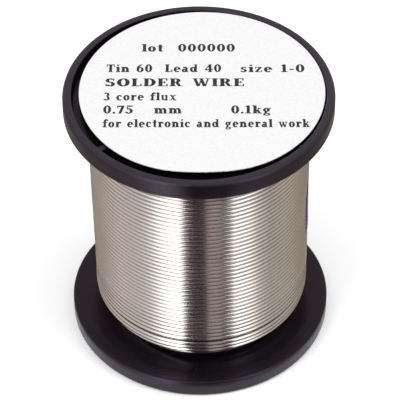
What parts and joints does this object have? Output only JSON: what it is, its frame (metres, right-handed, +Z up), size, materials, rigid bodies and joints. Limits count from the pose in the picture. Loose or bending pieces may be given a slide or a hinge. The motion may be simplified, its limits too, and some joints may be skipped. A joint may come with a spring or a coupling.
{
  "type": "solder wire spool",
  "caption": "Small flanged plastic spool filled with thin solder wire, standing upright, with a paper label on its upper flange.",
  "frame": {"origin": "middle of the face that the spool stands on, the rim face of the lower flange", "axes": "+Z up along the spool's axis, towards the labelled flange; -Y towards the front of the label, so its text reads from there; +X to the right"},
  "size_m": [0.039, 0.039, 0.0433],
  "materials": {
    "flange_plastic": "black moulded polystyrene, satin gloss",
    "barrel_plastic": "black moulded polystyrene",
    "label_paper": "smooth white printed paper",
    "solder": "bright drawn tin-lead wire",
    "tape": "thin blue-violet adhesive film"
  },
  "bodies": {
    "root": {"lower_flange": "flange_plastic", "upper_flange": "flange_plastic", "barrel_tube": "barrel_plastic", "label_disc": "label_paper", "wire_winding": "solder", "wire_start": "solder", "wire_tail": "solder", "end_tape": "tape"}
  },
  "joints": []
}
